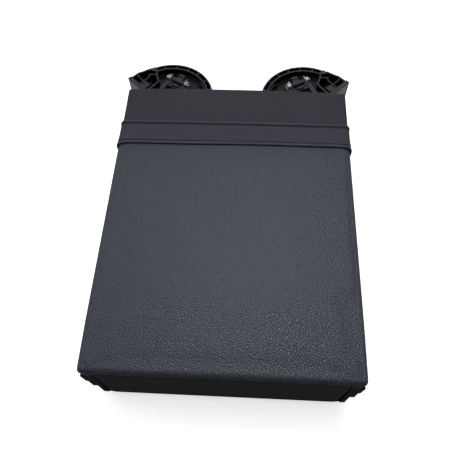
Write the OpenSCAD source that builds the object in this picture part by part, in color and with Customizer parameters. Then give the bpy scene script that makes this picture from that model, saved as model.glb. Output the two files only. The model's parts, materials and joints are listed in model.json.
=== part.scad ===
// Rear seat armrest with two swing-out cup holders, lying on its arm surface.
// X runs across the armrest, +Y from the hinge to the cup holders, +Z to the stowed face.
// The origin is on the hinge axis, midway between the sides.

/* [Body] */
// Width of the stowed face
body_w = 263; // [256:1:290]
// Length of the stowed face, from the hinge edge to the cup holder edge
body_len = 337.5; // [310:0.5:380]
// Thickness, from the arm surface to the stowed face
body_t = 92; // [88:1:100]
// Distance of the hinge axis behind the hinge edge
hinge_setback = 29.5; // [27:0.5:34]
// Height of the hinge axis above the arm surface
hinge_height = 48; // [44:1:52]
// How far the sides lean in on their way down
side_lean = 2.5; // [1:0.5:3]
// How far the hinge face leans out on its way down
hinge_face_lean = 5; // [2:0.5:6]
// Radius of the padded edges round the arm surface
arm_edge_r = 17; // [12:1:20]
// Radius of the edges round the stowed face
stowed_edge_r = 5; // [4:0.5:7]
// Radius of the rolled edge over the hinge
hinge_edge_r = 9; // [7:0.5:12]
// Setback of the arm surface's front, which leaves room for a cup
front_step = 8; // [4:0.5:12]
// Corner radius seen from above
plan_r = 7; // [5:0.5:9]
// Inward step of the hinge cheeks
cheek_step = 3; // [2:0.5:4]

/* [Cover and padding] */
// Thickness of the leather and vinyl covers
skin = 2.2; // [1.8:0.1:2.6]
// Thickness of the foam on the arm side
arm_foam_t = 12.8; // [10:0.2:16]
// Thickness of the foam under the stowed face
panel_foam_t = 3; // [2:0.2:4]
// Thickness of the board that closes the carrier
board_t = 3; // [2.4:0.2:4]
// Depth of the stowed face cover down the sides
cover_drop = 10; // [9:0.5:10.5]
// Distance of the flap seam from the cup holder edge
flap_seam = 50; // [44:1:60]
// Height of the pull flap, from its seam to its free edge
flap_h = 37; // [30:1:45]
// Thickness of the pull flap
flap_t = 2.4; // [2:0.1:3]
// Length of the flap ends that fold down the sides
flap_return = 14; // [8:1:18]
// Thickness of the flap ends
flap_side_t = 1.9; // [1.6:0.1:2.2]
// Depth of the hem tuck in the pull flap
hem_t = 0.8; // [0.5:0.1:1]
// Height of the apron over the hinge face
apron_h = 72; // [62:1:74]

/* [Carrier] */
// Wall of the carrier moulding
carrier_wall = 3; // [2.6:0.2:3.2]
// Thickness of the ribs in the carrier
rib_t = 2.2; // [1.8:0.2:2.8]
// Spacing of the cross ribs
rib_pitch = 52; // [44:1:60]
// Outside radius of the hinge tube
tube_r = 8; // [7.2:0.2:9]
// Wall of the hinge tube
tube_wall = 1.9; // [1.5:0.1:2.2]
// Radial wall of the hinge bushes
bush_wall = 2; // [1.6:0.1:2.4]
// Radius of the collar round each hinge bush
collar_r = 16; // [14.5:0.5:18]

/* [Cup holder housing] */
// Wall of the housing
housing_wall = 2; // [1.8:0.1:2.1]
// Thickness of the housing cover
cover_t = 2.4; // [2:0.1:3]
// Depth of the bay behind the front
bay_depth = 80; // [77:0.5:90]
// Thickness of everything outside the bay at each side
side_build = 10.8; // [10.6:0.1:12]
// Depth of the bay ceiling under the stowed face
bay_drop = 23.5; // [21:0.5:26]
// Gap between a moving holder and the housing
swing_gap = 0.8; // [0.6:0.1:1]

/* [Cup holders] */
// Angle that each holder swings from closed to open
swing_angle = 135; // [130:1:138]
// Radius of the outer skirt
ear_r = 55.4; // [53:0.2:55.8]
// Distance of the ring centre from the tip, along the front trim
ring_u = 60.5; // [59.5:0.1:61]
// Distance of the ring centre behind the front trim
ring_v = 21.3; // [20.3:0.2:22.3]
// Distance of the pivot from the tip, along the front trim
pivot_u = 80; // [79:0.2:81]
// Distance of the pivot behind the front trim
pivot_v = 8.5; // [8.4:0.1:9.4]
// Gap from the centre plane to a closed tip
tip_gap = 1.4; // [1:0.1:2]
// How far the closed trims stand proud of the front edge
trim_proud = 0.8; // [0:0.1:1.5]
// Thickness of the trim carrier
trim_t = 2; // [1.8:0.1:2.4]
// Thickness of the pale trim facing
facing_t = 1; // [0.8:0.1:1.2]
// Thickness of the moulded skirt and walls
mould_t = 1.6; // [1.3:0.1:1.9]
// Radial width from skirt to well wall, over both
ring_w = 7.6; // [5.6:0.1:8]
// Drop of the ring ribs below the bay ceiling
ring_drop = 2.9; // [2.4:0.1:4]
// Depth of the recess over the well floor
recess_d = 8.3; // [7.8:0.1:8.6]
// Thickness of the well floor
floor_t = 2; // [1.6:0.1:2.4]
// Radius of the spindle
spindle_r = 3.2; // [2.6:0.1:3.6]
// Radius of the spindle boss
boss_r = 5.3; // [5:0.1:5.4]
// Radial clearance of a shaft in its bore
run = 0.05; // [0.02:0.01:0.08]

/* [Cup grippers] */
// Distance of the gripper axis from the ring centre
grip_radius = 29.9; // [28.5:0.2:31]
// Direction of the gripper axis, seen from the ring centre
grip_angle = 119.2; // [117:0.2:122]
// Turn of the gripper axis against the trim
grip_turn = 17.3; // [15:0.1:20]
// Width of the gripper blade
blade_w = 14; // [10:0.5:15]
// Thickness of the gripper blade
blade_t = 2; // [1.6:0.1:2.4]
// Radius of the gripper pin
grip_pin_r = 1.5; // [1.2:0.1:1.7]
// Height of the gripper axis above the well floor
grip_axis_h = 4.8; // [4.7:0.1:5]
// Reach of the gripper blade below its axis
blade_reach = 32; // [24:1:34]
// Wire radius of the gripper springs
grip_wire_r = 0.55; // [0.4:0.05:0.6]

/* [Dampers and latches] */
// Module of the damper gears
gear_m = 1; // [0.9:0.05:1.05]
// Teeth of the full circle that the holder's gear is cut from
gear_teeth = 28; // [26:1:29]
// Teeth of the damper pinion
pinion_teeth = 10; // [9:1:10]
// Direction of the pinion from the pivot, with the holder open
pinion_dir = -14; // [-16:1:-10]
// Radius of the damper body
damper_r = 7; // [6.2:0.1:7.2]
// Radius of the latch plunger
plunger_r = 3; // [2.5:0.1:3.5]
// Travel of the latch plunger
plunger_travel = 5; // [3:0.5:6]

/* [Hidden] */
$fn = 64;
eps = 0.01;
far = 400;
seat = 0.3;

half_w = body_w / 2;
near_y = -hinge_setback;
far_y = body_len - hinge_setback;
top_z = body_t - hinge_height;
base_z = -hinge_height;
seam_z = top_z - cover_drop;
front_edge_r = 2;
step_depth = 11;
step_base = seam_z - apron_h + 4;
board_z = top_z - skin - panel_foam_t - board_t;

bay_top = top_z - bay_drop;
bay_roof = bay_top + cover_t + 0.2;
carrier_base = base_z + skin + arm_foam_t;
tray_z = carrier_base + carrier_wall;
bay_base = tray_z + housing_wall;
bay_half = half_w - side_build;
bay_back = far_y - bay_depth;
tray_half = bay_half + housing_wall;
tray_back = bay_back - housing_wall;
bay_wall_y = tray_back - carrier_wall;
flange_half = half_w - side_lean - skin - 0.8;
flange_top = bay_roof + 1.5;

trim_v = trim_t + facing_t;
pivot_x = pivot_u + tip_gap;
pivot_y = far_y + trim_proud - pivot_v;
end_reach = bay_half - pivot_x - swing_gap;
trim_len = pivot_u + sqrt(end_reach * end_reach - pivot_v * pivot_v);
trim_top = bay_top - swing_gap;
trim_base = bay_base + swing_gap;
ear_base = trim_base + 0.7;
ring_top = bay_top - ring_drop;
wing_top = ring_top + 0.9;
lip_z = wing_top + eps;
lip_v = 5;
floor_top = ring_top - recess_d;
floor_z = floor_top - floor_t;
well_r = ear_r - ring_w;
rim_t = 1.8;
rib_x = [-90, -30, 30, 90];
screw_inset = 10.7;
cheek_screw_y = tube_r + 16;
cheek_screw_z = [-14, 12];
cover_screw_len = 12;
neck_r = spindle_r + 0.8;
neck_base = floor_top + 5.7;
back_wall = 1.4;
notch_half = 3.4;
ring_c = [ring_u - pivot_u, ring_v - pivot_v];
open_turn = swing_angle - 180;

grip_c = ring_c + grip_radius * [cos(grip_angle), sin(grip_angle)];
grip_z = floor_top + grip_axis_h;
knuckle_w = 2.6;
knuckle_x = blade_w / 2 + 0.6;
coil_x = knuckle_x + knuckle_w + 0.4;
coil_len = 5.2;
pin_half = coil_x + coil_len + 0.8;
arm_w = 5.4;
arm_h = 4.6;
cup_c = ring_c + [2, 14];
mat_r = 28;

gear_r = gear_m * gear_teeth / 2;
pinion_r = gear_m * pinion_teeth / 2;
gear_gap = gear_r + pinion_r;
gear_h = 5;
gear_tip = 0.6 * gear_m;
gear_root = 1.3 * gear_m;
tooth_slack = 0.12;
pressure = 20;
mesh_dir = pinion_dir - open_turn;
stop_r = gear_r - 1.5;
stop_lug_dir = -14;
lug_w = 3;
buffer_r = 2;
damper_base = floor_top + gear_h + 1;

latch_x = tip_gap + ring_u;
latch_z = (ring_top + ear_base) / 2;
latch_face = far_y + trim_proud - ring_v - ear_r - 0.4;
latch_len = 22;

leather = "#3c424c";
smooth = "#3a3a3d";
apron_dark = "#1c1c1f";
plastic = "#141417";
grey_plastic = "#4b4b50";
pale_trim = "#a8a49b";
foam = "#c9b98a";
board_brown = "#6d5a45";
steel = "#b4b7bb";
zinc = "#d7d9db";
rubber = "#2a2623";

// Points of an arc, from one angle to the other
function arc(c, r, a0, a1, n = 6) =
    [for (i = [0 : n]) c + r * [cos(a0 + (a1 - a0) * i / n), sin(a0 + (a1 - a0) * i / n)]];

// A point of a cup holder, given along the trim and behind it
function at(u, v) = [u - pivot_u, v - pivot_v];

// Section of the body across its width, set in by t all round
function cross_outline(t) = let (
        rt = max(stowed_edge_r - t, 0.4),
        rb = max(arm_edge_r - t, 0.4),
        xt = half_w - t,
        xb = half_w - side_lean - t)
    concat(
        arc([xb - rb, base_z + t + rb], rb, -90, 0, 8),
        arc([xt - rt, top_z - t - rt], rt, 0, 90, 5),
        arc([-xt + rt, top_z - t - rt], rt, 90, 180, 5),
        arc([-xb + rb, base_z + t + rb], rb, 180, 270, 8));

// Section of the body along its length, set in by t all round
function long_outline(t) = let (
        rn = max(hinge_edge_r - t, 0.4),
        rb = max(arm_edge_r - 4 - t, 0.4),
        rf = max(front_edge_r - t, 0.4),
        yn = near_y + t,
        yb = near_y - hinge_face_lean + t,
        yf = far_y - t)
    concat(
        arc([yf - front_step - rb, base_z + t + rb], rb, -90, 0, 6),
        [[yf - front_step, bay_base + t], [yf, bay_base + t]],
        arc([yf - rf, top_z - t - rf], rf, 0, 90, 4),
        arc([yn + rn, top_z - t - rn], rn, 90, 180, 7),
        arc([yb + rb, base_z + t + rb], rb, 180, 270, 6));

// Outline of the body from above, set in by t all round
function plan_outline(t) = let (
        r = max(plan_r - t, 0.4),
        x = half_w - t,
        y0 = near_y - hinge_face_lean + t,
        y1 = far_y - t)
    concat(
        arc([x - r, y0 + r], r, -90, 0, 5),
        arc([x - r, y1 - r], r, 0, 90, 5),
        arc([-x + r, y1 - r], r, 90, 180, 5),
        arc([-x + r, y0 + r], r, 180, 270, 5));

// The padded body, set in by t on every face
module body_solid(t) {
    difference() {
        rounded_body(t);
        both_sides() for (k = [1, 2.5])
            block([-far, -far, step_base - t],
                [-half_w + k * cheek_step + t, near_y + step_depth + t, 22 - 12 * k + t]);
    }
}

module rounded_body(t) {
    intersection() {
        translate([0, far, 0]) rotate([90, 0, 0]) linear_extrude(2 * far) polygon(cross_outline(t));
        translate([-far, 0, 0]) rotate([90, 0, 90]) linear_extrude(2 * far) polygon(long_outline(t));
        translate([0, 0, -far]) linear_extrude(2 * far) polygon(plan_outline(t));
    }
}

// The cover layer over the whole body
module cover_layer() {
    difference() {
        body_solid(0);
        body_solid(skin);
    }
}

// A block between two corners
module block(low, high) {
    translate(low) cube(high - low);
}

// A shaft along X, centred on x
module shaft_x(r, x0, x1) {
    translate([x0, 0, 0]) rotate([0, 90, 0]) cylinder(r = r, h = x1 - x0);
}

// Unit normal of a chain of points on the stretch that starts at point i
function stretch_normal(points, i) = let (
        k = max(0, min(i, len(points) - 2)),
        d = points[k + 1] - points[k])
    [-d[1], d[0]] / norm(d);

// A chain of points moved sideways by s, with mitred corners
function sideways(points, s) = [for (i = [0 : len(points) - 1]) let (
        a = stretch_normal(points, i - 1),
        b = stretch_normal(points, i),
        m = (a + b) / norm(a + b))
    points[i] + m * s / (m * b)];

// Upright wall along a chain of points, with mitred corners
module wall_path(points, t, z0, z1) {
    right = sideways(points, -t / 2);
    left = sideways(points, t / 2);
    translate([0, 0, z0]) linear_extrude(z1 - z0)
        polygon(concat(right, [for (i = [len(left) - 1 : -1 : 0]) left[i]]));
}

// Both sides of a piece that is drawn on the left
module both_sides() {
    children();
    mirror([1, 0, 0]) children();
}

module on_side(side) {
    if (side == "left") children();
    else mirror([1, 0, 0]) children();
}

// Round wire along a chain of points, each with its outward direction
module wire(points, outs, r, sides = 6) {
    n = len(points);
    rings = [for (i = [0 : n - 1]) let (
            a = points[max(i - 1, 0)],
            b = points[min(i + 1, n - 1)],
            t = (b - a) / norm(b - a),
            o = outs[i] - t * (outs[i] * t),
            p = o / norm(o),
            q = cross(t, p))
        for (j = [0 : sides - 1])
            points[i] + r * (p * cos(360 * j / sides) + q * sin(360 * j / sides))];
    shell = [for (i = [0 : n - 2]) for (j = [0 : sides - 1]) let (k = (j + 1) % sides)
        [i * sides + j, (i + 1) * sides + j, (i + 1) * sides + k, i * sides + k]];
    ends = [[for (j = [0 : sides - 1]) j],
        [for (j = [0 : sides - 1]) n * sides - 1 - j]];
    polyhedron(points = rings, faces = concat(shell, ends));
}

// Coil spring about Z with two straight legs that leave it along its tangent
module coil(mean_r, wire_r, turns, pitch, leg, steps = 14) {
    count = round(turns * steps);
    last = 360 * turns;
    out0 = [1, 0, 0];
    out1 = [cos(last), sin(last), 0];
    run_pts = [for (i = [0 : count]) let (a = last * i / count)
        [mean_r * cos(a), mean_r * sin(a), pitch * a / 360]];
    run_outs = [for (i = [0 : count]) let (a = last * i / count) [cos(a), sin(a), 0]];
    first_leg = run_pts[0] + leg * [0, -1, 0];
    last_leg = run_pts[count] + leg * [-sin(last), cos(last), 0];
    wire(concat([first_leg], run_pts, [last_leg]), concat([out0], run_outs, [out1]), wire_r);
}

// Involute angle at radius r over a base circle
function involute(base, r) = r > base ? sqrt(r * r - base * base) / base * 180 / PI - acos(base / r) : 0;

// Half the angle of a tooth at radius r
function half_tooth(teeth, r) = let (
        pitch_r = gear_m * teeth / 2,
        base = pitch_r * cos(pressure))
    90 / teeth - tooth_slack / pitch_r * 180 / PI + involute(base, pitch_r) - involute(base, r);

// Outline of one tooth, pointing along direction a
function tooth(teeth, r0, r1, a, n = 5) = concat(
    [for (i = [0 : n]) let (r = r0 + (r1 - r0) * i / n, h = half_tooth(teeth, r))
        r * [cos(a - h), sin(a - h)]],
    [for (i = [n : -1 : 0]) let (r = r0 + (r1 - r0) * i / n, h = half_tooth(teeth, r))
        r * [cos(a + h), sin(a + h)]]);

// Body

module carrier_shell() {
    color(plastic) difference() {
        union() {
            difference() {
                intersection() {
                    body_solid(skin);
                    block([-far, -far, carrier_base], [far, bay_wall_y, board_z]);
                }
                block([-half_w + side_build, near_y + 5, tray_z], [half_w - side_build, far, far]);
            }
            for (x = rib_x) {
                block([x - rib_t / 2, near_y + 4, tray_z - eps], [x + rib_t / 2, bay_wall_y, board_z - 4]);
                block([x - 7, -tube_r - 5, tray_z - eps], [x + 7, tube_r + 5, tube_r + 5]);
                block([x - 5, bay_wall_y - 13, -5], [x + 5, bay_wall_y, 5]);
            }
            for (y = [tube_r + 20 : rib_pitch : bay_wall_y - latch_len - 6])
                block([-bay_half - eps, y, tray_z - eps], [bay_half + eps, y + rib_t, board_z - 4]);
        }
        shaft_x(tube_r + run, -far, far);
        both_sides() shaft_x(tube_r + bush_wall + run, bay_half - 0.5, far);
        both_sides() cheek_screw_holes(1.7);
        frame_screw_places() cylinder(r = 1.6, h = 14);
    }
}

// Frame round the cup holder bay, screwed to the carrier shell
module bay_frame() {
    color(plastic) difference() {
        intersection() {
            body_solid(skin);
            block([-far, bay_wall_y, carrier_base], [far, far, board_z]);
        }
        block([-tray_half, tray_back, tray_z], [tray_half, far, bay_roof]);
        block([-bay_half, tray_back, bay_roof + carrier_wall], [bay_half, far_y - skin - carrier_wall, far]);
        both_sides() at_latch() translate([0, 0, bay_wall_y - 1])
            cylinder(r = plunger_r + 0.6, h = 2 + carrier_wall);
        tray_screw_places() cylinder(r = 1.6, h = 3 * carrier_wall, center = true);
        frame_screw_places() {
            translate([0, 0, -1]) cylinder(r = 1.6, h = 14);
            translate([0, 0, -1]) cylinder(r = 3.3, h = 2.3);
        }
    }
}

// Places of those screws on the frame's rear wall, each pointing back to the hinge
module frame_screw_places() {
    for (x = rib_x)
        translate([x, tray_back, 0]) rotate([90, 0, 0]) children();
}

module frame_screws() {
    color(zinc) frame_screw_places() {
        translate([0, 0, 1]) cylinder(r = 1.5, h = 12);
        translate([0, 0, 0.1]) cylinder(r = 3.2, h = 1.2);
    }
}

module panel_board() {
    color(board_brown) intersection() {
        body_solid(skin);
        block([-far, -far, board_z], [far, far, board_z + board_t]);
    }
}

module panel_foam() {
    color(foam) intersection() {
        body_solid(skin);
        block([-far, -far, board_z + board_t], [far, far, far]);
    }
}

module panel_leather() {
    color(leather) intersection() {
        cover_layer();
        block([-far, -far, seam_z], [far, far_y - flap_seam, far]);
    }
}

module smooth_panel() {
    color(smooth) intersection() {
        cover_layer();
        block([-far, far_y - flap_seam, seam_z], [far, far, far]);
    }
}

module pull_flap() {
    seam_y = far_y - flap_seam;
    free_y = seam_y - flap_h;
    color(leather) difference() {
        intersection() {
            union() {
                block([-half_w - flap_side_t, free_y, top_z], [half_w + flap_side_t, seam_y, top_z + flap_t]);
                both_sides() block([-half_w - flap_side_t, free_y, top_z - flap_return],
                    [-half_w + stowed_edge_r, seam_y, top_z + eps]);
            }
            translate([0, far, 0]) rotate([90, 0, 0]) linear_extrude(2 * far)
                polygon(concat(
                    [[half_w + flap_side_t - side_lean, base_z]],
                    arc([half_w + flap_side_t - 5, top_z + flap_t - 5], 5, 0, 90, 5),
                    arc([-half_w - flap_side_t + 5, top_z + flap_t - 5], 5, 90, 180, 5),
                    [[-half_w - flap_side_t + side_lean, base_z]]));
        }
        body_solid(0);
        block([-far, free_y + 6.4, top_z + flap_t - hem_t], [far, free_y + 7.4, far]);
    }
}

module hinge_apron() {
    color(apron_dark) intersection() {
        cover_layer();
        block([-half_w + 13, near_y - far, seam_z - apron_h], [half_w - 13, near_y + 3, seam_z]);
    }
}

module arm_foam() {
    color(foam) intersection() {
        body_solid(skin);
        block([-far, -far, -far], [far, far, carrier_base]);
    }
}

module arm_leather() {
    color(leather) difference() {
        intersection() {
            cover_layer();
            block([-far, -far, -far], [far, far, seam_z]);
        }
        block([-half_w + 13, near_y - far, seam_z - apron_h], [half_w - 13, near_y + 3, far]);
        both_sides() cheek_window();
        block([-tray_half, bay_wall_y, tray_z], [tray_half, far, bay_top]);
        block([-flange_half - 0.3, far_y - skin - 1, bay_base - 1], [flange_half + 0.3, far, flange_top + 0.3]);
    }
}

// Window of a hinge cheek in the side cover, stepped towards the apron
module cheek_window() {
    block([-far, near_y - far, seam_z - apron_h + 12], [-half_w + 13, tube_r + 26, seam_z - 6]);
    block([-far, near_y - far, seam_z - apron_h + 4], [-half_w + 13, -tube_r, seam_z - 6]);
}

module cheek_screw_holes(r) {
    for (z = cheek_screw_z)
        translate([0, cheek_screw_y, z]) shaft_x(r, -far, -bay_half - 1);
}

module hinge_cheek(side) {
    color(plastic) on_side(side) difference() {
        union() {
            intersection() {
                cover_layer();
                cheek_window();
            }
            shaft_x(collar_r, -half_w + 0.5, -half_w + side_build - 4.5);
        }
        shaft_x(tube_r + bush_wall + run, -far, 0);
        difference() {
            shaft_x(collar_r + 1, -far, -half_w + side_build);
            shaft_x(far, -far, -half_w + 0.5);
            outside_skin();
        }
        cheek_screw_holes(1.7);
    }
}

// Everything outside the carrier
module outside_skin() {
    difference() {
        block([-far, -far, -far], [far, far, far]);
        body_solid(skin);
    }
}

module hinge_tube() {
    color(steel) difference() {
        shaft_x(tube_r, -half_w + 1, half_w - 1);
        shaft_x(tube_r - tube_wall, -far, far);
    }
}

module hinge_bush(side) {
    color("#e4e1d6") on_side(side) difference() {
        union() {
            shaft_x(tube_r + bush_wall, -half_w + 0.5, -bay_half + 0.4);
            shaft_x(tube_r + bush_wall + 2.4, -half_w - 1, -half_w + 0.5);
        }
        shaft_x(tube_r + run, -far, 0);
    }
}

module cheek_screws() {
    color(zinc) both_sides() for (z = cheek_screw_z) translate([0, cheek_screw_y, z]) {
        shaft_x(1.6, -half_w + 0.2, -bay_half - 1.4);
        shaft_x(3.4, -half_w - 1.2, -half_w + 0.4);
    }
}

// Cup holder housing

module tray_screw_places() {
    for (k = [-1, -0.33, 0.33, 1])
        translate([k * (bay_half - screw_inset), bay_back + 5, tray_z]) children();
}

module cover_post_places() {
    for (x = [-bay_half + 4, 0, bay_half - 4])
        translate([x, bay_back + 4, 0]) children();
}

module housing_tray() {
    color(plastic) difference() {
        union() {
            difference() {
                block([-tray_half, tray_back, tray_z], [tray_half, far_y, bay_top]);
                block([-bay_half, bay_back, bay_base], [bay_half, far, far]);
            }
            difference() {
                block([-flange_half, far_y - skin, bay_base], [flange_half, far_y, flange_top]);
                block([-bay_half, -far, bay_base - 1], [bay_half, far, bay_top]);
            }
            cover_post_places() translate([0, 0, bay_base - eps])
                cylinder(r = 4.4, h = bay_top - bay_base + eps);
        }
        block([-tray_half - 1, -far, bay_top], [tray_half + 1, far_y - skin, far]);
        block([-far, far_y - front_step, -far], [far, far, bay_base]);
        cover_post_places() translate([0, 0, bay_top - cover_screw_len - 2])
            cylinder(r = 1.3, h = cover_screw_len + 3);
        tray_screw_places() {
            cylinder(r = 1.6, h = 10, center = true);
            translate([0, 0, housing_wall - 1.3]) cylinder(r = 3.3, h = 3);
        }
        both_sides() at_latch() translate([0, 0, tray_back - 1])
            cylinder(r = plunger_r + 0.6, h = housing_wall + 2);
    }
}

module housing_cover() {
    color(grey_plastic) difference() {
        block([-tray_half, tray_back, bay_top], [tray_half, far_y - skin, bay_top + cover_t]);
        both_sides() place_ear() {
            translate([0, 0, bay_top]) cylinder(r = spindle_r + run, h = 3 * cover_t, center = true);
            at_pinion() translate([0, 0, bay_top]) cylinder(r = 1.8, h = 3 * cover_t, center = true);
        }
        cover_post_places() translate([0, 0, bay_top]) {
            cylinder(r = 1.6, h = 3 * cover_t, center = true);
            translate([0, 0, cover_t - 1.2]) cylinder(r = 3.3, h = 3);
        }
    }
}

module tray_screws() {
    color(zinc) tray_screw_places() {
        translate([0, 0, -carrier_wall + 0.4]) cylinder(r = 1.5, h = carrier_wall + housing_wall - 1.6);
        translate([0, 0, housing_wall - 1.3]) cylinder(r = 3.2, h = 1.2);
    }
}

module cover_screws() {
    color(zinc) cover_post_places() {
        translate([0, 0, bay_top - cover_screw_len])
            cylinder(r = 1.25, h = cover_screw_len + cover_t - 1.2 + eps);
        translate([0, 0, bay_top + cover_t - 1.2]) cylinder(r = 3.2, h = 1.1);
    }
}

// Left holder's own frame, with its origin on the pivot and X along the trim
module place_ear() {
    translate([-pivot_x, pivot_y, 0]) rotate([0, 0, open_turn]) children();
}

module at_pinion() {
    rotate([0, 0, mesh_dir]) translate([gear_gap, 0, 0]) children();
}

module bump_stops() {
    lug_half = asin((lug_w / 2 + buffer_r + seat) / stop_r);
    color(rubber) both_sides() place_ear()
        rotate([0, 0, stop_lug_dir + lug_half]) translate([stop_r, 0, damper_base - 0.5])
            cylinder(r = buffer_r, h = bay_top - damper_base + 0.5);
}

module spindle(side) {
    color(steel) on_side(side) place_ear() {
        translate([0, 0, floor_z - 1.4]) cylinder(r = spindle_r, h = bay_top + cover_t - floor_z + 1.4);
        translate([0, 0, floor_z - 1.4]) cylinder(r = spindle_r + 0.7, h = 1.3);
    }
}

// Cup holders

// Everything behind the trim
module behind_trim() {
    block([-far, trim_v - pivot_v, -far], [far, far, far]);
}

// Edge between the ribbed wing and the well
divide = [at(12, 38.4), at(21.5, 31.2), at(30.4, 26.8), at(32.2, 14.6), at(32.2, trim_v)];

// The part of a holder that lies on the well's side of that edge
module well_side(z0, z1) {
    translate([0, 0, z0]) linear_extrude(z1 - z0)
        polygon(concat(divide, [at(200, trim_v), at(200, 200), at(-60, 200), at(-60, 38.4)]));
}

module tube_wall_at(r, z0, z1) {
    translate([ring_c[0], ring_c[1], z0]) difference() {
        cylinder(r = r, h = z1 - z0, $fn = 128);
        translate([0, 0, -1]) cylinder(r = r - mould_t, h = z1 - z0 + 2, $fn = 128);
    }
}

// Skirt, well wall, the lip between them and the radial ribs
module ring_walls() {
    wing_v = 30;
    intersection() {
        tube_wall_at(ear_r, ear_base, ring_top);
        union() {
            translate([at(-20, wing_v)[0], at(-20, wing_v)[1], -far]) cube(2 * far);
            well_side(-far, far);
        }
    }
    intersection() {
        union() {
            tube_wall_at(well_r + mould_t, ear_base, ring_top);
            translate([ring_c[0], ring_c[1], ear_base]) difference() {
                cylinder(r = ear_r - 0.2, h = rim_t, $fn = 128);
                translate([0, 0, -1]) cylinder(r = well_r + 0.2, h = rim_t + 2, $fn = 128);
            }
            for (a = [-10 : 17.5 : 160])
                translate([ring_c[0], ring_c[1], 0]) rotate([0, 0, a])
                    block([well_r + 0.5, -0.7, ear_base + 0.2], [ear_r - 0.5, 0.7, ring_top - 0.4]);
        }
        well_side(-far, far);
        behind_trim();
    }
}

// Ribbed wing between the tip, the trim and the ring
module wing() {
    edge = [at(0.4, trim_v), at(0.4, 16.9), at(2.6, 22.2), at(4.6, 30)];
    inner = concat([for (p = edge) p + [mould_t / 2, 0]], [at(6.4, 34)]);
    translate([0, 0, ear_base]) linear_extrude(rim_t)
        polygon(concat(edge, [at(7.8, 36.5), at(10.2, 41)], divide));
    wall_path(inner, mould_t, ear_base, wing_top);
    wall_path(divide, mould_t + 0.2, ear_base, wing_top - 0.5);
    rib_base = ear_base + 0.5;
    wall_path([at(1.2, 16.4), at(4.4, 12.8), at(16, 12.8)], 1.3, rib_base, wing_top - 0.6);
    wall_path([at(16.3, trim_v), at(16.3, 20.6), at(12.9, 26.2), at(19.4, 32.8)], 1.3, rib_base, wing_top - 0.7);
    wall_path([at(16.3, 20.4), at(31.2, 18.4)], 1.3, rib_base, wing_top - 5);
    wall_path([at(12.7, 26), at(4.8, 27.6)], 1.3, rib_base, wing_top - 3);
    translate([at(9.9, 35.8)[0], at(9.9, 35.8)[1], rib_base]) cylinder(r = 3.2, h = wing_top - rib_base);
}

module ear_floor() {
    difference() {
        intersection() {
            translate([ring_c[0], ring_c[1], floor_z]) cylinder(r = well_r + 0.4, h = floor_t, $fn = 128);
            well_side(-far, far);
            behind_trim();
        }
        at_grip() block([-blade_w / 2 - 0.8, -blade_t - 1.4, -far], [blade_w / 2 + 0.8, blade_t + 5, far]);
        translate([ring_c[0], ring_c[1], 0]) difference() {
            intersection() {
                cylinder(r = well_r, h = far, $fn = 128);
                linear_extrude(far) polygon([[0, 0], 2 * well_r * [cos(28), sin(28)],
                    2 * well_r * [cos(58), sin(58)], 2 * well_r * [cos(84), sin(84)]]);
            }
            cylinder(r = well_r - 5.4, h = far, $fn = 128);
        }
    }
}

module holder_gear() {
    disc_r = gear_r - gear_root;
    intersection() {
        union() {
            cylinder(r = disc_r, h = gear_h);
            for (k = [-1 : ceil(swing_angle * gear_teeth / 360) + 1])
                linear_extrude(gear_h)
                    polygon(tooth(gear_teeth, disc_r - 0.4, gear_r + gear_tip,
                        mesh_dir + (k + 0.5) * 360 / gear_teeth));
        }
        behind_trim();
    }
}

module cup_ear(side) {
    color(plastic) on_side(side) place_ear() difference() {
        union() {
            holder_body();
            translate([0, 0, floor_top - eps]) cylinder(r = neck_r, h = trim_top - floor_top);
        }
        translate([0, 0, -far]) cylinder(r = spindle_r + run, h = 2 * far);
    }
}

// The holder without its spindle neck and bore
module holder_body() {
    difference() {
        union() {
            ring_walls();
            wing();
            ear_floor();
            block([at(0.4, 0)[0], trim_v - pivot_v, ear_base],
                [at(ring_u + sqrt(ear_r * ear_r - pow(ring_v - trim_v, 2)) - 0.6, 0)[0],
                    trim_v - pivot_v + back_wall, ring_top]);
            translate([0, 0, floor_top - eps]) cylinder(r = boss_r, h = neck_base - floor_top);
            translate([0, 0, floor_top - eps]) holder_gear();
            rotate([0, 0, stop_lug_dir])
                block([stop_r - 4.5, -lug_w / 2, floor_top + gear_h - 1], [stop_r + 1.2, lug_w / 2, trim_top]);
        }
        block([-notch_half, -far, neck_base], [notch_half, trim_v - pivot_v + back_wall + eps, far]);
    }
}

module trim_carrier(side) {
    tab_u = 20;
    tab_w = 9;
    color(grey_plastic) on_side(side) place_ear() {
        block([at(0, 0)[0], facing_t - pivot_v, trim_base], [at(trim_len, 0)[0], trim_v - pivot_v, trim_top]);
        block([at(0, 0)[0], -pivot_v, lip_z], [at(trim_len, 0)[0], facing_t - pivot_v + 1, trim_top]);
        block([at(0, 0)[0], trim_v - pivot_v - 1, lip_z], [at(pivot_u - 12, 0)[0], lip_v - pivot_v, trim_top]);
        block([at(tab_u, 0)[0], trim_v - pivot_v + back_wall + eps, wing_top - 5.2],
            [at(tab_u + tab_w, 0)[0], at(0, 14.4)[1], wing_top + 0.6]);
        block([at(tab_u, 0)[0], trim_v - pivot_v - 1, lip_z],
            [at(tab_u + tab_w, 0)[0], at(0, 9)[1], wing_top + 0.6]);
    }
}

module trim_facing(side) {
    color(pale_trim) on_side(side) place_ear() difference() {
        block([at(0, 0)[0], -pivot_v, trim_base], [at(trim_len, 0)[0], facing_t - pivot_v, lip_z]);
        block([-far, -pivot_v - 1, trim_base + 7], [far, -pivot_v + 0.4, trim_base + 8.2]);
    }
}

// Left gripper's own frame, with X along its axis and Y outwards
module at_grip() {
    translate([grip_c[0], grip_c[1], 0]) rotate([0, 0, grip_turn]) children();
}

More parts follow.
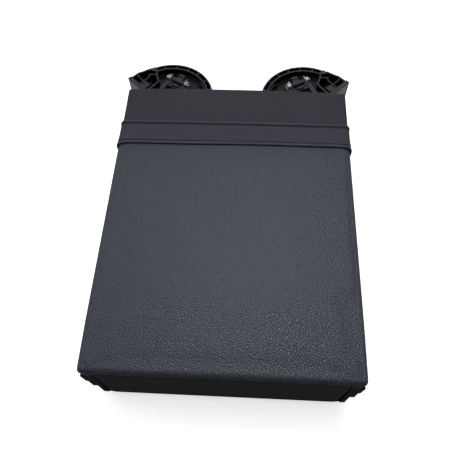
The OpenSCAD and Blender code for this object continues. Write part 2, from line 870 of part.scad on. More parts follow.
module grip_bracket(side) {
    arm_in = [27, 18];
    arm_x = coil_x + coil_len / 2;
    color(grey_plastic) on_side(side) place_ear() at_grip() difference() {
        union() {
            for (s = [-1, 1]) {
                block([min(s * knuckle_x, s * (knuckle_x + knuckle_w)), -7, floor_top],
                    [max(s * knuckle_x, s * (knuckle_x + knuckle_w)), 3.4, grip_z]);
                translate([0, 0, grip_z]) shaft_x(3.4, min(s * knuckle_x, s * (knuckle_x + knuckle_w)),
                    max(s * knuckle_x, s * (knuckle_x + knuckle_w)));
                block([s * arm_x - arm_w / 2, -arm_in[s < 0 ? 0 : 1], floor_top],
                    [s * arm_x + arm_w / 2, -5, floor_top + arm_h]);
            }
            block([-arm_x - arm_w / 2 + eps, -11, floor_top], [arm_x + arm_w / 2 - eps, -5, floor_top + 3.6]);
            block([-5, -9.5, floor_top], [5, -6.5, floor_top + 6.4]);
        }
        translate([0, 0, grip_z]) shaft_x(grip_pin_r + run, -far, far);
    }
}

module grip_finger(side) {
    tail = 10.5;
    blade = [[0, 0], [0.4, -blade_reach * 0.33], [0, -blade_reach * 0.62],
        [0.9, -blade_reach * 0.88], [2.6, -blade_reach]];
    color(grey_plastic) on_side(side) place_ear() at_grip() translate([0, 0, grip_z]) difference() {
        union() {
            shaft_x(3.2, -blade_w / 2, blade_w / 2);
            translate([-blade_w / 2, 0, 0]) rotate([90, 0, 90]) linear_extrude(blade_w)
                polygon(concat([for (p = blade) p - [blade_t / 2, 0]],
                    [for (i = [len(blade) - 1 : -1 : 0]) blade[i] + [blade_t / 2, 0]]));
            block([-4, 0, -1.2], [4, tail, 1.2]);
            block([-4, tail - 3, -1.2], [4, tail, 2.6]);
        }
        shaft_x(grip_pin_r + run, -far, far);
    }
}

module grip_pin(side) {
    color(steel) on_side(side) place_ear() at_grip() translate([0, 0, grip_z]) {
        shaft_x(grip_pin_r, -pin_half, pin_half);
        for (x = [-pin_half - 0.8, pin_half]) shaft_x(grip_pin_r + 1, x, x + 0.8);
    }
}

module grip_springs(side) {
    turns = 3.25;
    pitch = (coil_len - 1.2) / turns;
    mean_r = grip_pin_r + grip_wire_r + 1.95;
    color(zinc) on_side(side) place_ear() at_grip() translate([0, 0, grip_z])
        for (s = [-1, 1]) mirror([s < 0 ? 1 : 0, 0, 0])
            translate([coil_x + 0.6, 0, 0]) rotate([0, 90, 0]) rotate([0, 0, 180])
                coil(mean_r, grip_wire_r, turns, pitch, grip_axis_h - 0.1);
}

module grip_pad(side) {
    color("#3a2f28") on_side(side) place_ear() translate([ring_c[0], ring_c[1], 0]) difference() {
        intersection() {
            translate([0, 0, ear_base + 4]) cylinder(r = well_r, h = floor_top + 4 - ear_base - 4, $fn = 128);
            translate([0, 0, -far]) linear_extrude(2 * far) polygon([[0, 0], 2 * well_r * [cos(30), sin(30)],
                2 * well_r * [cos(56), sin(56)], 2 * well_r * [cos(82), sin(82)]]);
        }
        translate([0, 0, -far]) cylinder(r = well_r - 1.8, h = 2 * far, $fn = 128);
    }
}

module well_mat(side) {
    color(rubber) on_side(side) place_ear() difference() {
        translate([cup_c[0], cup_c[1], floor_z - 1.2]) cylinder(r = mat_r, h = 1.2, $fn = 96);
        translate([0, 0, floor_z - 5]) cylinder(r = spindle_r + 2.8, h = 10);
        at_grip() block([-blade_w / 2 - 0.8, -blade_t - 1.4, -far], [blade_w / 2 + 0.8, far, far]);
    }
}

module ear_spring(side) {
    wire_r = 0.35;
    mean_r = neck_r + wire_r + 0.25;
    leg_turn = 60;
    color(zinc) on_side(side) place_ear() rotate([0, 0, leg_turn])
        translate([0, 0, neck_base + wire_r + 0.15]) coil(mean_r, wire_r, 3.25, 1.1, 3, 18);
}

// Dampers and latches

module damper_body(side) {
    color(plastic) on_side(side) place_ear() at_pinion() difference() {
        translate([0, 0, damper_base]) cylinder(r = damper_r, h = bay_top - damper_base);
        translate([0, 0, damper_base - 1]) cylinder(r = 1.5 + run, h = far);
    }
}

module damper_pinion(side) {
    root_r = pinion_r - 1.25 * gear_m;
    color("#d9d4c4") on_side(side) place_ear() at_pinion() {
        translate([0, 0, floor_top + 0.7]) {
            cylinder(r = root_r, h = gear_h - 0.7);
            for (k = [0 : pinion_teeth - 1])
                linear_extrude(gear_h - 0.7)
                    polygon(tooth(pinion_teeth, root_r - 0.4, pinion_r + gear_m * 0.9,
                        180 + k * 360 / pinion_teeth));
        }
        translate([0, 0, floor_top + 0.7]) cylinder(r = 1.5, h = bay_top - floor_top - 1);
    }
}

module at_latch() {
    translate([-latch_x, 0, latch_z]) rotate([-90, 0, 0]) children();
}

module latch_housings() {
    color(plastic) both_sides() difference() {
        block([-latch_x - 8, bay_wall_y - latch_len, latch_z - 7], [-latch_x + 8, bay_wall_y, latch_z + 7]);
        at_latch() translate([0, 0, bay_wall_y - latch_len + 3]) cylinder(r = plunger_r + run, h = far);
    }
}

module latch_plunger(side) {
    color("#e6e3da") on_side(side) at_latch() {
        start = bay_wall_y - latch_len + 3 + plunger_travel + 1;
        translate([0, 0, start]) cylinder(r = plunger_r, h = latch_face - start);
    }
}

carrier_shell();
bay_frame();
frame_screws();
panel_board();
panel_foam();
panel_leather();
smooth_panel();
pull_flap();
hinge_apron();
arm_foam();
arm_leather();
hinge_tube();
hinge_bush("left");  // hinge_bush_left
hinge_bush("right");  // hinge_bush_right
hinge_cheek("left");  // hinge_cheek_left
hinge_cheek("right");  // hinge_cheek_right
cheek_screws();
housing_tray();
housing_cover();
tray_screws();
cover_screws();
bump_stops();
spindle("left");  // spindle_left
spindle("right");  // spindle_right
cup_ear("left");  // cup_ear_left
cup_ear("right");  // cup_ear_right
trim_carrier("left");  // trim_carrier_left
trim_carrier("right");  // trim_carrier_right
trim_facing("left");  // trim_facing_left
trim_facing("right");  // trim_facing_right
grip_bracket("left");  // grip_bracket_left
grip_bracket("right");  // grip_bracket_right
grip_finger("left");  // grip_finger_left
grip_finger("right");  // grip_finger_right
grip_pin("left");  // grip_pin_left
grip_pin("right");  // grip_pin_right
grip_springs("left");  // grip_springs_left
grip_springs("right");  // grip_springs_right
grip_pad("left");  // grip_pad_left
grip_pad("right");  // grip_pad_right
well_mat("left");  // well_mat_left
well_mat("right");  // well_mat_right
ear_spring("left");  // ear_spring_left
ear_spring("right");  // ear_spring_right
damper_body("left");  // damper_body_left
damper_body("right");  // damper_body_right
damper_pinion("left");  // damper_pinion_left
damper_pinion("right");  // damper_pinion_right
latch_housings();
latch_plunger("left");  // latch_plunger_left
latch_plunger("right");  // latch_plunger_right
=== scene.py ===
"""Looks of the rear seat armrest: leather covers, pull flap, moulded holders, light and camera."""
import json
import math

import bmesh
import bpy
import numpy as np
from mathutils import Matrix, Vector


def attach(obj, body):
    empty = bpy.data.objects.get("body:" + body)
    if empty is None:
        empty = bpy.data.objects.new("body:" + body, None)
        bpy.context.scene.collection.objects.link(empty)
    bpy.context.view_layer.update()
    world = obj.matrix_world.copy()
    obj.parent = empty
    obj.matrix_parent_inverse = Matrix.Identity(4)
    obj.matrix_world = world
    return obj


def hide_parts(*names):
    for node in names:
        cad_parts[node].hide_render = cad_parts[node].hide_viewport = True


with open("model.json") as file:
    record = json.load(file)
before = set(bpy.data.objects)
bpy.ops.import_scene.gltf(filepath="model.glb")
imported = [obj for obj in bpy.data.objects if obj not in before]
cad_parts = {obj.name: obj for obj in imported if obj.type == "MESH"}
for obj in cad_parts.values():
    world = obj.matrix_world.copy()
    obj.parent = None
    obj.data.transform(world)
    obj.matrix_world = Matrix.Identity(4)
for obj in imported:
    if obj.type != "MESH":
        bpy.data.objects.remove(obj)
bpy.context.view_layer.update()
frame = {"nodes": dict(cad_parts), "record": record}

# Measures of the armrest, in metres
MM = 0.001
SAME_PLACE = 1e-6

# Padded body: half width, hinge edge, cup holder edge, about the middle between them, stowed face and
# arm surface. Then its step under the bay, the leans of its faces, its crown and bulge, and its skin
HALF_W = 0.1315
NEAR = -0.0295
FAR = 0.3085
MIDDLE = 0.14
TOP = 0.0443
BASE = -0.048
STEP_Z = -0.028
STEP = 0.008
SIDE_LEAN = 0.0025
HINGE_LEAN = 0.005
CROWN = 0.0014
FRONT_BULGE = 0.0024
SKIN = 0.0012

# Seam between the stowed face's covers and the arm cover, and the edges of the pull flap
SEAM = 0.034
FLAP_SEAM = 0.258
FLAP_EDGE = 0.2248
HEM = 4.6 * MM
SEAM_ROW = 4.2 * MM

# Window of a hinge cheek, in the side of the arm cover and stepped towards the apron
CHEEK_X = 0.1185
CHEEK_BACK = 0.034
CHEEK_STEP_Y = -0.008
CHEEK_TOP = 0.028
CHEEK_STEP_Z = -0.026
CHEEK_BASE = -0.034
APRON_BASE = -0.038

# Mouth of the cup holder bay, wider above its floor strip
BAY_X = 0.126
BAY_FLOOR_X = 0.1227
BAY_TOP = 0.0249
BAY_FLOOR = -0.030

# Height from which the rims of the cup holder mouldings are painted grey, a painted highlight on them
RIM_HIGHLIGHT_Z = 0.0171


# Meshes

def unit(values):
    """Values held between nought and one."""
    return np.clip(values, 0, 1)


def bell(away, reach):
    """A bell of height one: e to the power of minus the square of the distance over its reach."""
    return np.exp(-(away / reach) ** 2)


def points_of(mesh):
    """The places of a mesh's points, one row each."""
    places = np.empty(len(mesh.vertices) * 3)
    mesh.vertices.foreach_get("co", places)
    return places.reshape(-1, 3)


def make_piece(name, points, faces, finish, body="armrest"):
    """A smooth mesh from an array of points and a list of faces, with its finish and its body."""
    mesh = bpy.data.meshes.new(name)
    mesh.from_pydata(points.tolist(), [], faces)
    mesh.validate()
    mesh.polygons.foreach_set("use_smooth", np.full(len(mesh.polygons), True))
    mesh.materials.append(finish)
    piece = bpy.data.objects.new(name, mesh)
    bpy.context.scene.collection.objects.link(piece)
    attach(piece, body)
    return piece


def merge_doubles(mesh, turn_outwards=False):
    """Merges points that lie on each other and, if asked, turns every face outwards."""
    work = bmesh.new()
    work.from_mesh(mesh)
    bmesh.ops.remove_doubles(work, verts=work.verts, dist=SAME_PLACE)
    if turn_outwards:
        bmesh.ops.recalc_face_normals(work, faces=work.faces)
    work.to_mesh(mesh)
    work.free()


def grid_faces(rows, columns, round_columns=False):
    """Quads of a grid of rows by columns. The last column meets the first if it is round."""
    row = np.arange(rows - 1)
    column = np.arange(columns if round_columns else columns - 1)
    row, column = np.meshgrid(row, column, indexing="ij")
    beside = (column + 1) % columns
    here = row * columns
    below = here + columns
    quads = np.stack([here + column, here + beside, below + beside, below + column], -1)
    return quads.reshape(-1, 4)


# The padded body

def spaced(*stops):
    """Grid lines through the given stops: each pair is a stop and the number of cells up to it."""
    lines = [stops[0]]
    for cells, stop in zip(stops[1::2], stops[2::2]):
        lines += list(np.linspace(lines[-1], stop, cells + 1)[1:])
    return np.array(lines)


def box_patches(xs, ys, zs):
    """The six faces of a box as grids of points and quads, all wound outwards."""
    patches = []

    def patch(across, along, axis, level, flip):
        a, b = np.meshgrid(across, along, indexing="ij")
        planes = [a, b]
        planes.insert(axis, np.full_like(a, level))
        quads = grid_faces(len(across), len(along))
        patches.append((np.stack(planes, -1).reshape(-1, 3), quads[:, ::-1] if flip else quads))

    patch(xs, ys, 2, zs[-1], True)
    patch(xs, ys, 2, zs[0], False)
    patch(xs, zs, 1, ys[0], True)
    patch(xs, zs, 1, ys[-1], False)
    patch(ys, zs, 0, xs[0], False)
    patch(ys, zs, 0, xs[-1], True)
    return patches


def body_limits(p):
    """Inner box and edge radii of the padded body at each point, before it leans."""
    x, y, z = p[:, 0], p[:, 1], p[:, 2]
    levels = np.array([BASE, -0.031, -0.010, 0.030, TOP])
    radius_x = np.interp(z, levels, np.array([17, 17, 9, 6, 3.5]) * MM)
    near_y = np.interp(z, levels, np.array([11, 11, 8, 6, 5]) * MM)
    far_y = np.interp(z, levels, np.array([13, 13, 8, 5, 2.5]) * MM)
    radius_y = np.where(y < 0.1, near_y, far_y)
    top_z = np.interp(y, [NEAR, 0.02, 0.28, FAR], np.array([8, 4.5, 4, 2.5]) * MM)
    radius_z = np.where(z > 0, top_z, 15 * MM)
    inner = np.stack([np.clip(x, -HALF_W + radius_x, HALF_W - radius_x),
                      np.clip(y, NEAR + radius_y, FAR - radius_y),
                      np.clip(z, BASE + radius_z, TOP - radius_z)], -1)
    return inner, np.stack([radius_x, radius_y, radius_z], -1)


def soften(p):
    """Sharp box to padded body. A point beyond an inner box is brought to an ellipsoid round it: the part
    that lies outside, divided by the edge radii, is made one long and multiplied by them again. The radii
    change with the height. Then the sides lean in, the hinge face leans out and the front steps back. The
    face is crowned by a parabola each way, and the far edge bulges by the root of the one across."""
    inner, radii = body_limits(p)
    out = (p - inner) / radii
    length = np.maximum(np.linalg.norm(out, axis=1, keepdims=True), 1e-9)
    biggest = np.abs(out).max(1, keepdims=True)
    soft = inner + radii * out / length * np.minimum(biggest, 1)
    lean = unit((0.035 - soft[:, 2]) / 0.070)
    soft[:, 0] -= SIDE_LEAN * lean * soft[:, 0] / HALF_W
    soft[:, 1] -= HINGE_LEAN * lean * unit(1 - (soft[:, 1] - NEAR) / 0.06)
    fall = unit((STEP_Z - 0.0005 - soft[:, 2]) / 0.0015)
    soft[:, 1] -= STEP * fall * unit((soft[:, 1] - 0.25) / 0.05)
    across = unit(1 - (soft[:, 0] / HALF_W) ** 2)
    along = unit(1 - ((soft[:, 1] - MIDDLE) / 0.172) ** 2)
    soft[:, 2] += CROWN * unit(soft[:, 2] / TOP) ** 2 * across * (0.55 + 0.45 * along)
    at_front = unit((soft[:, 1] - 0.27) / 0.03) * unit((soft[:, 2] - 0.026) / 0.012)
    soft[:, 1] += FRONT_BULGE * (across ** 0.5 - 0.25 * soft[:, 0] / HALF_W) * at_front
    return soft


def seam_pull(p, soft, depth=1.3 * MM, reach=3.0 * MM):
    """Draws the covers in along their seam: depth times a bell of the distance from the seam's height."""
    at_side = np.abs(p[:, 0]) >= HALF_W - SAME_PLACE
    at_end = (p[:, 1] <= NEAR + SAME_PLACE) | (p[:, 1] >= FAR - SAME_PLACE)
    away = np.stack([np.sign(p[:, 0]) * at_side, np.sign(p[:, 1] - MIDDLE) * at_end], -1)
    pull = depth * bell(p[:, 2] - SEAM, reach)
    soft = soft.copy()
    soft[:, :2] -= away * pull[:, None]
    return soft


def cover(name, keep, finish):
    """The faces of the padded body whose middles pass the test keep(x, y, z)."""
    xs = spaced(-HALF_W, 4, -BAY_X, 2, -BAY_FLOOR_X, 2, -CHEEK_X, 44,
                CHEEK_X, 2, BAY_FLOOR_X, 2, BAY_X, 4, HALF_W)
    ys = spaced(NEAR, 6, -0.018, 2, CHEEK_STEP_Y, 6, CHEEK_BACK, 30, FLAP_SEAM, 2, 0.262, 7, 0.302, 4, FAR)
    zs = spaced(BASE, 4, APRON_BASE, 2, CHEEK_BASE, 2, BAY_FLOOR, 1, STEP_Z, 1, CHEEK_STEP_Z, 10,
                BAY_TOP, 1, CHEEK_TOP, 2, 0.0315, 2, SEAM, 2, 0.0365, 2, 0.0395, 3, TOP)
    points = []
    faces = []
    base = 0
    for corner, quads in box_patches(xs, ys, zs):
        middle = corner[quads].mean(1)
        chosen = quads[keep(*middle.T)]
        points.append(corner)
        faces.append(chosen + base)
        base += len(corner)
    sharp = np.concatenate(points)
    faces = np.concatenate(faces)
    used, index = np.unique(faces, return_inverse=True)
    sharp = sharp[used]
    soft = seam_pull(sharp, soften(sharp))
    piece = make_piece(name, soft, index.reshape(-1, 4).tolist(), finish)
    merge_doubles(piece.data)
    return piece


def foam_core(name, node, cell=4 * MM, margin=3.5 * MM):
    """The foam under a cover: its solid in cells of the given width, with each point that lies past the
    padded body less a margin brought back, along its line from the inner box, to that ellipsoid."""
    source = frame["nodes"][node]
    work = bmesh.new()
    work.from_mesh(source.data)
    bmesh.ops.remove_doubles(work, verts=work.verts, dist=SAME_PLACE)
    mesh = bpy.data.meshes.new(name)
    work.to_mesh(mesh)
    work.free()
    piece = bpy.data.objects.new(name, mesh)
    bpy.context.scene.collection.objects.link(piece)
    remesh = piece.modifiers.new("Cells", "REMESH")
    remesh.mode = "VOXEL"
    remesh.voxel_size = cell
    ready = piece.evaluated_get(bpy.context.evaluated_depsgraph_get())
    cells = bpy.data.meshes.new_from_object(ready)
    piece.modifiers.clear()
    piece.data = cells
    points = points_of(cells)
    inner, radii = body_limits(points)
    out = (points - inner) / radii
    length = np.maximum(np.linalg.norm(out, axis=1, keepdims=True), 1e-9)
    room = 1 - margin / radii.min(1, keepdims=True)
    points = inner + radii * out * np.minimum(1, room / length)
    cells.vertices.foreach_set("co", points.ravel())
    cells.polygons.foreach_set("use_smooth", np.full(len(cells.polygons), True))
    cells.materials.clear()
    cells.materials.append(FINISHES["foam"])
    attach(piece, "armrest")
    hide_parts(node)
    return piece


def swell(piece, cap, pressure=4.0, frames=20, flat_below=None):
    """Cloth simulation under a little pressure, held at the open edges. A point keeps only its
    way outwards, and that is held under the cap by a hyperbolic tangent."""
    mesh = piece.data
    start = points_of(mesh)
    work = bmesh.new()
    work.from_mesh(mesh)
    rim = [v.index for v in work.verts if v.is_boundary]
    work.free()
    group = piece.vertex_groups.new(name="sewn")
    group.add(rim, 1.0, "REPLACE")
    cloth = piece.modifiers.new("Cloth", "CLOTH")
    settings = cloth.settings
    settings.use_pressure = True
    settings.uniform_pressure_force = pressure
    settings.effector_weights.gravity = 0.0
    settings.vertex_group_mass = "sewn"
    settings.quality = 6
    settings.tension_stiffness = 15
    settings.compression_stiffness = 15
    settings.bending_stiffness = 0.6
    settings.mass = 0.3
    cloth.collision_settings.use_collision = False
    scene = bpy.context.scene
    for frame_number in range(1, frames + 1):
        scene.frame_set(frame_number)
    ready = piece.evaluated_get(bpy.context.evaluated_depsgraph_get())
    way = points_of(ready.data) - start
    outward = np.empty(start.size)
    mesh.vertices.foreach_get("normal", outward)
    outward = outward.reshape(-1, 3)
    way = outward * np.maximum((way * outward).sum(1, keepdims=True), 0)
    far = np.maximum(np.linalg.norm(way, axis=1, keepdims=True), 1e-9)
    moved = start + way / far * cap * np.tanh(far / cap)
    if flat_below is not None:
        moved[:, 2] = np.maximum(moved[:, 2], flat_below)
    piece.modifiers.remove(cloth)
    piece.vertex_groups.remove(group)
    scene.frame_set(1)
    mesh.vertices.foreach_set("co", moved.ravel())
    mesh.update()


def thicken(piece, depth):
    """Gives a sheet its thickness inwards and rounds it by subdivision."""
    solid = piece.modifiers.new("Skin", "SOLIDIFY")
    solid.thickness = depth
    solid.offset = -1
    smooth = piece.modifiers.new("Smooth", "SUBSURF")
    smooth.levels = 1
    smooth.render_levels = 1
    smooth.boundary_smooth = "PRESERVE_CORNERS"


# Finishes

def start_finish(name, roughness, metallic=0.0, specular=0.5):
    """A material with its shader, and a function that adds a node to it."""
    material = bpy.data.materials.new(name)
    material.use_nodes = True
    tree = material.node_tree
    shader = tree.nodes["Principled BSDF"]
    shader.inputs["Roughness"].default_value = roughness
    shader.inputs["Metallic"].default_value = metallic
    shader.inputs["Specular IOR Level"].default_value = specular

    def add(kind, **settings):
        node = tree.nodes.new("ShaderNode" + kind)
        for key, value in settings.items():
            target = node.inputs.get(key.replace("_", " ")) if key[0].isupper() else None
            if target is None:
                setattr(node, key, value)
            elif isinstance(value, bpy.types.NodeSocket):
                tree.links.new(value, target)
            else:
                target.default_value = value
        return node

    def wire(a, b):
        tree.links.new(a, b)

    return material, shader, add, wire


def shades(add, factor, dark, light, low=0.3, high=0.7):
    """Colour between dark and light along a factor."""
    ramp = add("ValToRGB", Fac=factor)
    ramp.color_ramp.elements[0].position = low
    ramp.color_ramp.elements[1].position = high
    ramp.color_ramp.elements[0].color = (*dark, 1)
    ramp.color_ramp.elements[1].color = (*light, 1)
    return ramp.outputs["Color"]


def spread(add, factor, low, high):
    """A factor of 0 to 1 mapped to low to high."""
    node = add("MapRange", Value=factor, To_Min=low, To_Max=high)
    return node.outputs["Result"]


def sum_of(add, a, b, share):
    """a plus share times b."""
    node = add("Math", operation="MULTIPLY_ADD")
    node.inputs[1].default_value = share
    node.id_data.links.new(b, node.inputs[0])
    node.id_data.links.new(a, node.inputs[2])
    return node.outputs[0]


def leather_finish(name, colour, cell, height, roughness, crease_tone=0.45, pebble_tone=1.0, wear=0.12,
                   painted_roll_shade=None, with_painted_relief=False, flat=False):
    """Grained leather: warped cells of the given width, turned off the part's axes, form pebbles between
    creases, with fine pores on them and a slow drift of colour over the hide. Its pebble tops are lighter
    and its creases darker: partly the grain's own colour, partly a painted highlight on the pebbles and
    painted shade in the creases. A painted roll shade darkens it down the rolled edge under the face, and
    leather with painted relief light is lighter on ridges, a painted highlight, and darker in sewn grooves
    and on the flap's underside, painted shade, by a point attribute. On a flat face the cells are those of
    a plane, so that they keep one size."""
    cells = "2D" if flat else "3D"
    material, shader, add, wire = start_finish(name, roughness, specular=0.42)
    place = add("TexCoord").outputs["Object"]
    drift = add("TexNoise", Vector=place, Scale=0.55 / cell, Detail=2.0, Roughness=0.5)
    warp = add("VectorMath", operation="MULTIPLY_ADD")
    wire(drift.outputs["Color"], warp.inputs[0])
    warp.inputs[1].default_value = (1.4 * cell, 1.4 * cell, 1.4 * cell)
    wire(add("Mapping", Vector=place, Rotation=(0, 0, 0.6)).outputs["Vector"], warp.inputs[2])
    crease = add("TexVoronoi", feature="DISTANCE_TO_EDGE", Vector=warp.outputs[0], Scale=1 / cell,
                 Randomness=0.85, voronoi_dimensions=cells)
    pebble = add("TexVoronoi", feature="SMOOTH_F1", Vector=warp.outputs[0], Scale=1 / cell, Smoothness=0.6,
                 Randomness=0.85, voronoi_dimensions=cells)
    pores = add("TexNoise", Vector=place, Scale=4.5 / cell, Detail=3.0, Roughness=0.6)
    valley = spread(add, crease.outputs["Distance"], 0.0, 1.0)
    valley.node.inputs["From Max"].default_value = 0.16
    valley.node.clamp = True
    dome = add("Math", operation="SUBTRACT")
    wire(valley, dome.inputs[0])
    wire(pebble.outputs["Distance"], dome.inputs[1])
    shape = sum_of(add, dome.outputs[0], pores.outputs["Fac"], 0.22)
    bump = add("Bump", Height=shape, Distance=height, Strength=0.8)
    wire(bump.outputs["Normal"], shader.inputs["Normal"])
    hide = add("TexNoise", Vector=place, Scale=9.0, Detail=4.0, Roughness=0.55)
    dark = tuple(c * (1 - wear) for c in colour)
    light = tuple(min(c * (1 + wear), 1) for c in colour)
    tone = shades(add, hide.outputs["Fac"], dark, light)
    # Lighter pebble tops and darker creases: partly grain colour, partly a painted highlight and painted
    # shade
    grain_and_painted_sheen = shades(add, dome.outputs[0], (crease_tone,) * 3, (pebble_tone,) * 3, -0.1, 0.75)
    mixer = add("MixRGB", blend_type="MULTIPLY", Fac=1.0)
    wire(tone, mixer.inputs["Color1"])
    wire(grain_and_painted_sheen, mixer.inputs["Color2"])
    colours = mixer.outputs["Color"]
    extra = []
    # Painted shade: darker down the rolled edge, from just under the face to the seam
    if painted_roll_shade is not None:
        level = add("SeparateXYZ", Vector=place).outputs["Z"]
        depth = add("MapRange", Value=level, From_Min=SEAM, From_Max=TOP - 1.5 * MM)
        extra.append(shades(add, depth.outputs["Result"], (painted_roll_shade,) * 3, (1.0,) * 3, 0.1, 1.0))
    # Painted relief light: lighter on ridges as a painted highlight, darker in grooves and underneath as
    # painted shade
    if with_painted_relief:
        painted_relief_shading = add("Attribute", attribute_name="painted_relief_shading").outputs["Fac"]
        extra.append(shades(add, painted_relief_shading, (0.1,) * 3, (1.9,) * 3, 0.0, 1.0))
    for shade in extra:
        layer = add("MixRGB", blend_type="MULTIPLY", Fac=1.0)
        wire(colours, layer.inputs["Color1"])
        wire(shade, layer.inputs["Color2"])
        colours = layer.outputs["Color"]
    wire(colours, shader.inputs["Base Color"])
    gloss = sum_of(add, spread(add, hide.outputs["Fac"], roughness - 0.07, roughness + 0.07),
                   pores.outputs["Fac"], 0.06)
    wire(gloss, shader.inputs["Roughness"])
    return material


def moulded_finish(name, colour, roughness, grain=0.0005, height=0.00004, edge=0.0004, specular=0.5,
                   metallic=0.0, drift=0.12, rim=None):
    """Moulded plastic, paint, rubber or thread: a fine even grain, cloudy gloss, softly rounded edges and a
    slow drift of tone. A rim is a height and the colour to which the plastic is painted from there up: a
    painted highlight on the rims."""
    material, shader, add, wire = start_finish(name, roughness, metallic, specular)
    place = add("TexCoord").outputs["Object"]
    fine = add("TexNoise", Vector=place, Scale=1 / grain, Detail=2.0, Roughness=0.6)
    cloud = add("TexNoise", Vector=place, Scale=38.0, Detail=3.0, Roughness=0.55)
    rounded = add("Bevel", samples=6, Radius=edge)
    bump = add("Bump", Height=fine.outputs["Fac"], Distance=height, Strength=0.6)
    wire(rounded.outputs["Normal"], bump.inputs["Normal"])
    wire(bump.outputs["Normal"], shader.inputs["Normal"])
    dark = tuple(c * (1 - drift) for c in colour)
    light = tuple(min(c * (1 + drift), 1) for c in colour)
    tone = shades(add, cloud.outputs["Fac"], dark, light)
    # Painted highlight: the plastic turns to the rim colour from the rim's height up
    if rim is not None:
        level, painted_rim_highlight = rim
        height_up = add("SeparateXYZ", Vector=place).outputs["Z"]
        at_rim = add("MapRange", Value=height_up, From_Min=level - 0.2 * MM, From_Max=level)
        layer = add("MixRGB", Fac=at_rim.outputs["Result"])
        wire(tone, layer.inputs["Color1"])
        layer.inputs["Color2"].default_value = (*painted_rim_highlight, 1)
        tone = layer.outputs["Color"]
    wire(tone, shader.inputs["Base Color"])
    wire(spread(add, cloud.outputs["Fac"], max(roughness - 0.06, 0.05), roughness + 0.06),
         shader.inputs["Roughness"])
    return material


def brushed_finish(name, colour, roughness, along=(1, 0, 0)):
    """Drawn or plated metal: streaks that run along one direction."""
    material, shader, add, wire = start_finish(name, roughness, metallic=1.0)
    stretch = tuple(60.0 if a else 2400.0 for a in along)
    place = add("Mapping", Vector=add("TexCoord").outputs["Object"], Scale=stretch)
    streak = add("TexNoise", Vector=place.outputs["Vector"], Scale=1.0, Detail=3.0, Roughness=0.6)
    bump = add("Bump", Height=streak.outputs["Fac"], Distance=0.00002, Strength=0.5)
    wire(bump.outputs["Normal"], shader.inputs["Normal"])
    dark = tuple(c * 0.86 for c in colour)
    wire(shades(add, streak.outputs["Fac"], dark, colour), shader.inputs["Base Color"])
    wire(spread(add, streak.outputs["Fac"], roughness - 0.06, roughness + 0.08), shader.inputs["Roughness"])
    return material


def foam_finish(name, colour):
    """Cut polyurethane foam: small open cells, a little darker in their depths, as painted shade."""
    material, shader, add, wire = start_finish(name, 0.95, specular=0.2)
    place = add("TexCoord").outputs["Object"]
    cells = add("TexVoronoi", feature="F1", Vector=place, Scale=700.0)
    bump = add("Bump", Height=cells.outputs["Distance"], Distance=0.0005, Strength=0.7)
    wire(bump.outputs["Normal"], shader.inputs["Normal"])
    # Painted shade in the cells
    dark = tuple(c * 0.72 for c in colour)
    wire(shades(add, cells.outputs["Distance"], colour, dark, 0.2, 0.8), shader.inputs["Base Color"])
    return material


def board_finish(name, colour):
    """Pressed fibre board: short fibres in every direction."""
    material, shader, add, wire = start_finish(name, 0.85, specular=0.3)
    place = add("TexCoord").outputs["Object"]
    long_way = add("Mapping", Vector=place, Scale=(240, 900, 900))
    cross_way = add("Mapping", Vector=place, Scale=(900, 240, 900), Rotation=(0, 0, 0.6))
    one = add("TexNoise", Vector=long_way.outputs["Vector"], Scale=1.0, Detail=4.0)
    two = add("TexNoise", Vector=cross_way.outputs["Vector"], Scale=1.0, Detail=4.0)
    both = add("Math", operation="MAXIMUM")
    wire(one.outputs["Fac"], both.inputs[0])
    wire(two.outputs["Fac"], both.inputs[1])
    dark = tuple(c * 0.6 for c in colour)
    wire(shades(add, both.outputs[0], dark, colour, 0.4, 0.7), shader.inputs["Base Color"])
    bump = add("Bump", Height=both.outputs[0], Distance=0.0002, Strength=0.5)
    wire(bump.outputs["Normal"], shader.inputs["Normal"])
    return material


FINISHES = {
    # The grained leather carries painted shade down its rolled near edge
    "leather": leather_finish("grained leather", (0.0385, 0.046, 0.0675), 0.0021, 0.0003, 0.365,
                              crease_tone=0.42, painted_roll_shade=0.15, flat=True),
    "smooth_vinyl": leather_finish("smooth vinyl", (0.0165, 0.0167, 0.0310), 0.0008, 0.00010, 0.66,
                                   wear=0.05),
    "apron_vinyl": leather_finish("apron vinyl", (0.0340, 0.0340, 0.0410), 0.0012, 0.00015, 0.72,
                                  wear=0.1),
    # The black moulding is painted grey on its rims as a painted highlight
    "black_plastic": moulded_finish("black moulding", (0.0030, 0.0030, 0.0042), 0.32, height=0.00002,
                                    specular=0.26, rim=(RIM_HIGHLIGHT_Z, (0.032, 0.032, 0.040))),
    "carrier_plastic": moulded_finish("carrier moulding", (0.0030, 0.0030, 0.0038), 0.6, height=0.00008,
                                      specular=0.16),
    "grey_plastic": moulded_finish("grey moulding", (0.022, 0.022, 0.027), 0.46, height=0.00005,
                                   specular=0.3),
    "trim_paint": moulded_finish("satin trim", (0.42, 0.42, 0.385), 0.36, grain=0.0003, height=0.00001,
                                 metallic=0.6, drift=0.05),
    "foam": foam_finish("foam", (0.59, 0.49, 0.26)),
    "board": board_finish("fibre board", (0.16, 0.10, 0.06)),
    "steel": brushed_finish("steel", (0.48, 0.49, 0.51), 0.32),
    "zinc": brushed_finish("zinc plate", (0.72, 0.73, 0.75), 0.24, along=(0, 1, 0)),
    "rubber": moulded_finish("rubber", (0.018, 0.016, 0.015), 0.75, grain=0.0008, height=0.00008,
                             specular=0.3),
    "pad_rubber": moulded_finish("pad rubber", (0.016, 0.0125, 0.013), 0.7, grain=0.0008, height=0.00008,
                                 specular=0.3),
    "nylon": moulded_finish("nylon", (0.76, 0.74, 0.68), 0.45, specular=0.4, drift=0.04),
}
